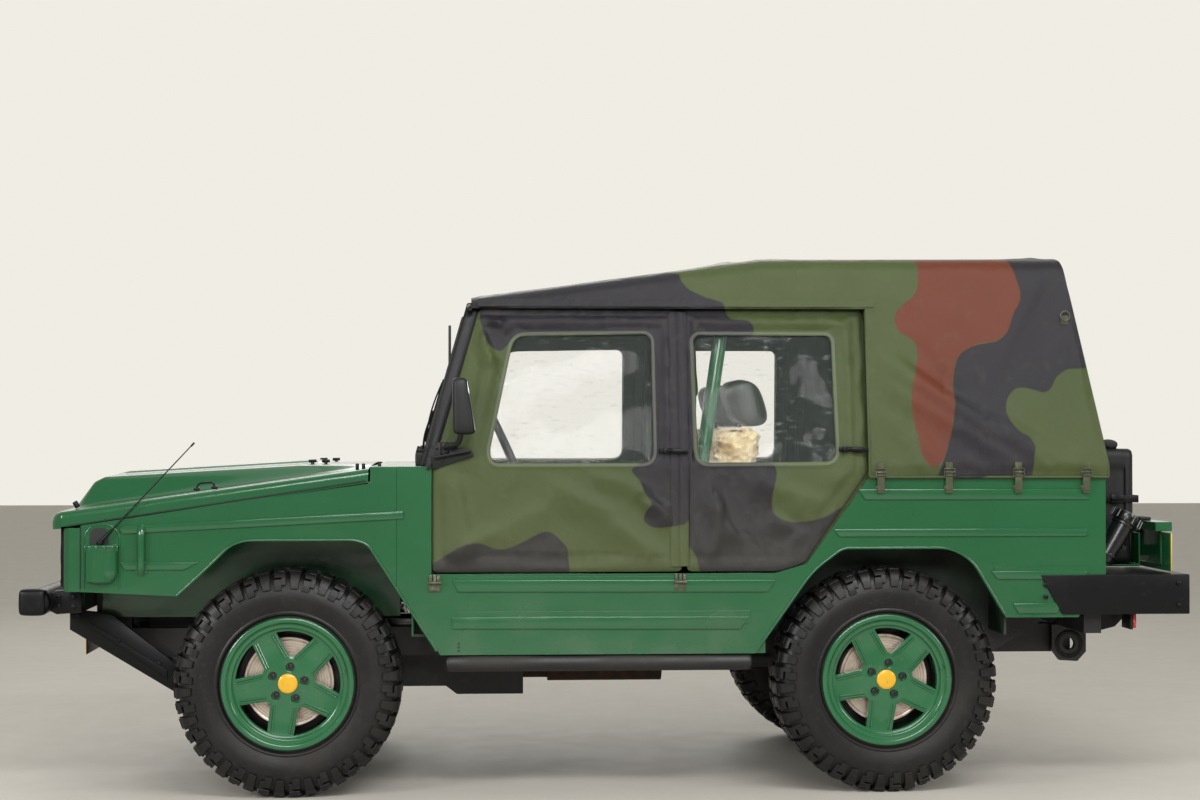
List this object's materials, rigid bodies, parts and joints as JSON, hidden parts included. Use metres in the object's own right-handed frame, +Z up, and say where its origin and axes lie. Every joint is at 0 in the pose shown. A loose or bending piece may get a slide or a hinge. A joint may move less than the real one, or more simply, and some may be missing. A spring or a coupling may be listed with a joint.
{
  "type": "military 4x4 utility car",
  "caption": "Unarmed military 4x4 car with a steel tub, camouflage canvas top and doors, five-spoke wheels, opening hood, tailgate and doors, and steered front wheels.",
  "frame": {"origin": "on the ground, midway along the overall length, on the centre line", "axes": "+X forward, +Y to the car's left, +Z up"},
  "size_m": [3.936, 1.82, 1.8476],
  "materials": {
    "body_green": "gloss enamel",
    "canvas": "coated canvas, camouflage",
    "clear_pane": "clear flexible sheet",
    "black_paint": "satin black paint",
    "chassis_black": "dull chassis black",
    "tyre_rubber": "matt rubber",
    "screen_glass": "laminated glass",
    "vinyl": "grained vinyl",
    "black_plastic": "moulded black",
    "engine_iron": "cast, oily",
    "lamp": "clear lens",
    "lamp_red": "red lens"
  },
  "bodies": {
    "body": {"antenna": "black_paint", "body_sides": "body_green", "canvas_top": "canvas", "chassis_rails": "chassis_black", "cowl_panel": "body_green", "crossmembers": "chassis_black", "dashboard": "black_plastic", "drive_shafts": "engine_iron", "engine_block": "engine_iron", "exhaust": "engine_iron", "filler_neck": "black_plastic", "floor_pan": "body_green", "front_bumper": "black_paint", "front_fenders": "body_green", "front_suspension": "chassis_black", "fuel_tank": "chassis_black", "gear_case": "engine_iron", "grille": "black_plastic", "headlamps": "lamp", "jerry_can": "black_paint", "nose_panel": "body_green", "rear_bench": "vinyl", "rear_bumpers": "black_paint", "rear_lamps": "lamp_red", "rear_panel": "body_green", "rear_suspension": "chassis_black", "rear_window": "clear_pane", "roll_hoop": "body_green", "seats": "vinyl", "side_steps": "black_paint", "skid_plate": "black_paint", "wheel_houses": "body_green", "windscreen_frame": "body_green", "windscreen_glass": "screen_glass", "wipers": "black_paint"},
    "hood": {"hood": "body_green"},
    "tailgate": {"tailgate": "body_green"},
    "steering_wheel": {"steering_wheel": "black_plastic"},
    "knuckle_left": {"knuckle_left": "engine_iron"},
    "wheel_front_left": {"tyre_front_left": "tyre_rubber", "rim_front_left": "body_green"},
    "door_front_left": {"door_front_left": "canvas", "door_pane_front_left": "clear_pane", "mirror_left": "black_plastic"},
    "wheel_rear_left": {"tyre_rear_left": "tyre_rubber", "rim_rear_left": "body_green"},
    "door_rear_left": {"door_rear_left": "canvas", "door_pane_rear_left": "clear_pane"},
    "knuckle_right": {"knuckle_right": "engine_iron"},
    "wheel_front_right": {"tyre_front_right": "tyre_rubber", "rim_front_right": "body_green"},
    "door_front_right": {"door_front_right": "canvas", "door_pane_front_right": "clear_pane", "mirror_right": "black_plastic"},
    "wheel_rear_right": {"tyre_rear_right": "tyre_rubber", "rim_rear_right": "body_green"},
    "door_rear_right": {"door_rear_right": "canvas", "door_pane_rear_right": "clear_pane"}
  },
  "joints": [
    {"name": "steer_left", "type": "hinge", "parent": "body", "child": "knuckle_left", "pos_m": [1.088, 0.56, 0.38], "axis": [0, 0, 1], "range_deg": [-30, 30]},
    {"name": "roll_front_left", "type": "hinge", "parent": "knuckle_left", "child": "wheel_front_left", "pos_m": [1.088, 0.635, 0.38], "axis": [0, 1, 0], "continuous": true},
    {"name": "roll_rear_left", "type": "hinge", "parent": "body", "child": "wheel_rear_left", "pos_m": [-0.929, 0.635, 0.38], "axis": [0, 1, 0], "continuous": true},
    {"name": "open_front_left", "type": "hinge", "parent": "body", "child": "door_front_left", "pos_m": [0.604, 0.759, 0.9], "axis": [0, 0, -1], "range_deg": [0, 75]},
    {"name": "open_rear_left", "type": "hinge", "parent": "body", "child": "door_rear_left", "pos_m": [-0.246, 0.759, 0.9], "axis": [0, 0, -1], "range_deg": [0, 75]},
    {"name": "steer_right", "type": "hinge", "parent": "body", "child": "knuckle_right", "pos_m": [1.088, -0.56, 0.38], "axis": [0, 0, 1], "range_deg": [-30, 30]},
    {"name": "roll_front_right", "type": "hinge", "parent": "knuckle_right", "child": "wheel_front_right", "pos_m": [1.088, -0.635, 0.38], "axis": [0, 1, 0], "continuous": true},
    {"name": "roll_rear_right", "type": "hinge", "parent": "body", "child": "wheel_rear_right", "pos_m": [-0.929, -0.635, 0.38], "axis": [0, 1, 0], "continuous": true},
    {"name": "open_front_right", "type": "hinge", "parent": "body", "child": "door_front_right", "pos_m": [0.604, -0.759, 0.9], "axis": [0, 0, 1], "range_deg": [0, 75]},
    {"name": "open_rear_right", "type": "hinge", "parent": "body", "child": "door_rear_right", "pos_m": [-0.246, -0.759, 0.9], "axis": [0, 0, 1], "range_deg": [0, 75]},
    {"name": "hood_hinge", "type": "hinge", "parent": "body", "child": "hood", "pos_m": [0.818, 0, 1.11], "axis": [0, -1, 0], "range_deg": [0, 60]},
    {"name": "tailgate_hinge", "type": "hinge", "parent": "body", "child": "tailgate", "pos_m": [-1.68, 0, 0.786], "axis": [0, -1, 0], "range_deg": [0, 90]},
    {"name": "steering_wheel_turn", "type": "hinge", "parent": "body", "child": "steering_wheel", "pos_m": [0.318, 0.37, 1.086], "axis": [-0.9135, 0, 0.4067], "range_deg": [-480, 480]}
  ],
  "couplings": [
    {"joint": "steer_right", "follows": "steer_left", "ratio": 1},
    {"joint": "steering_wheel_turn", "follows": "steer_left", "ratio": 16}
  ]
}
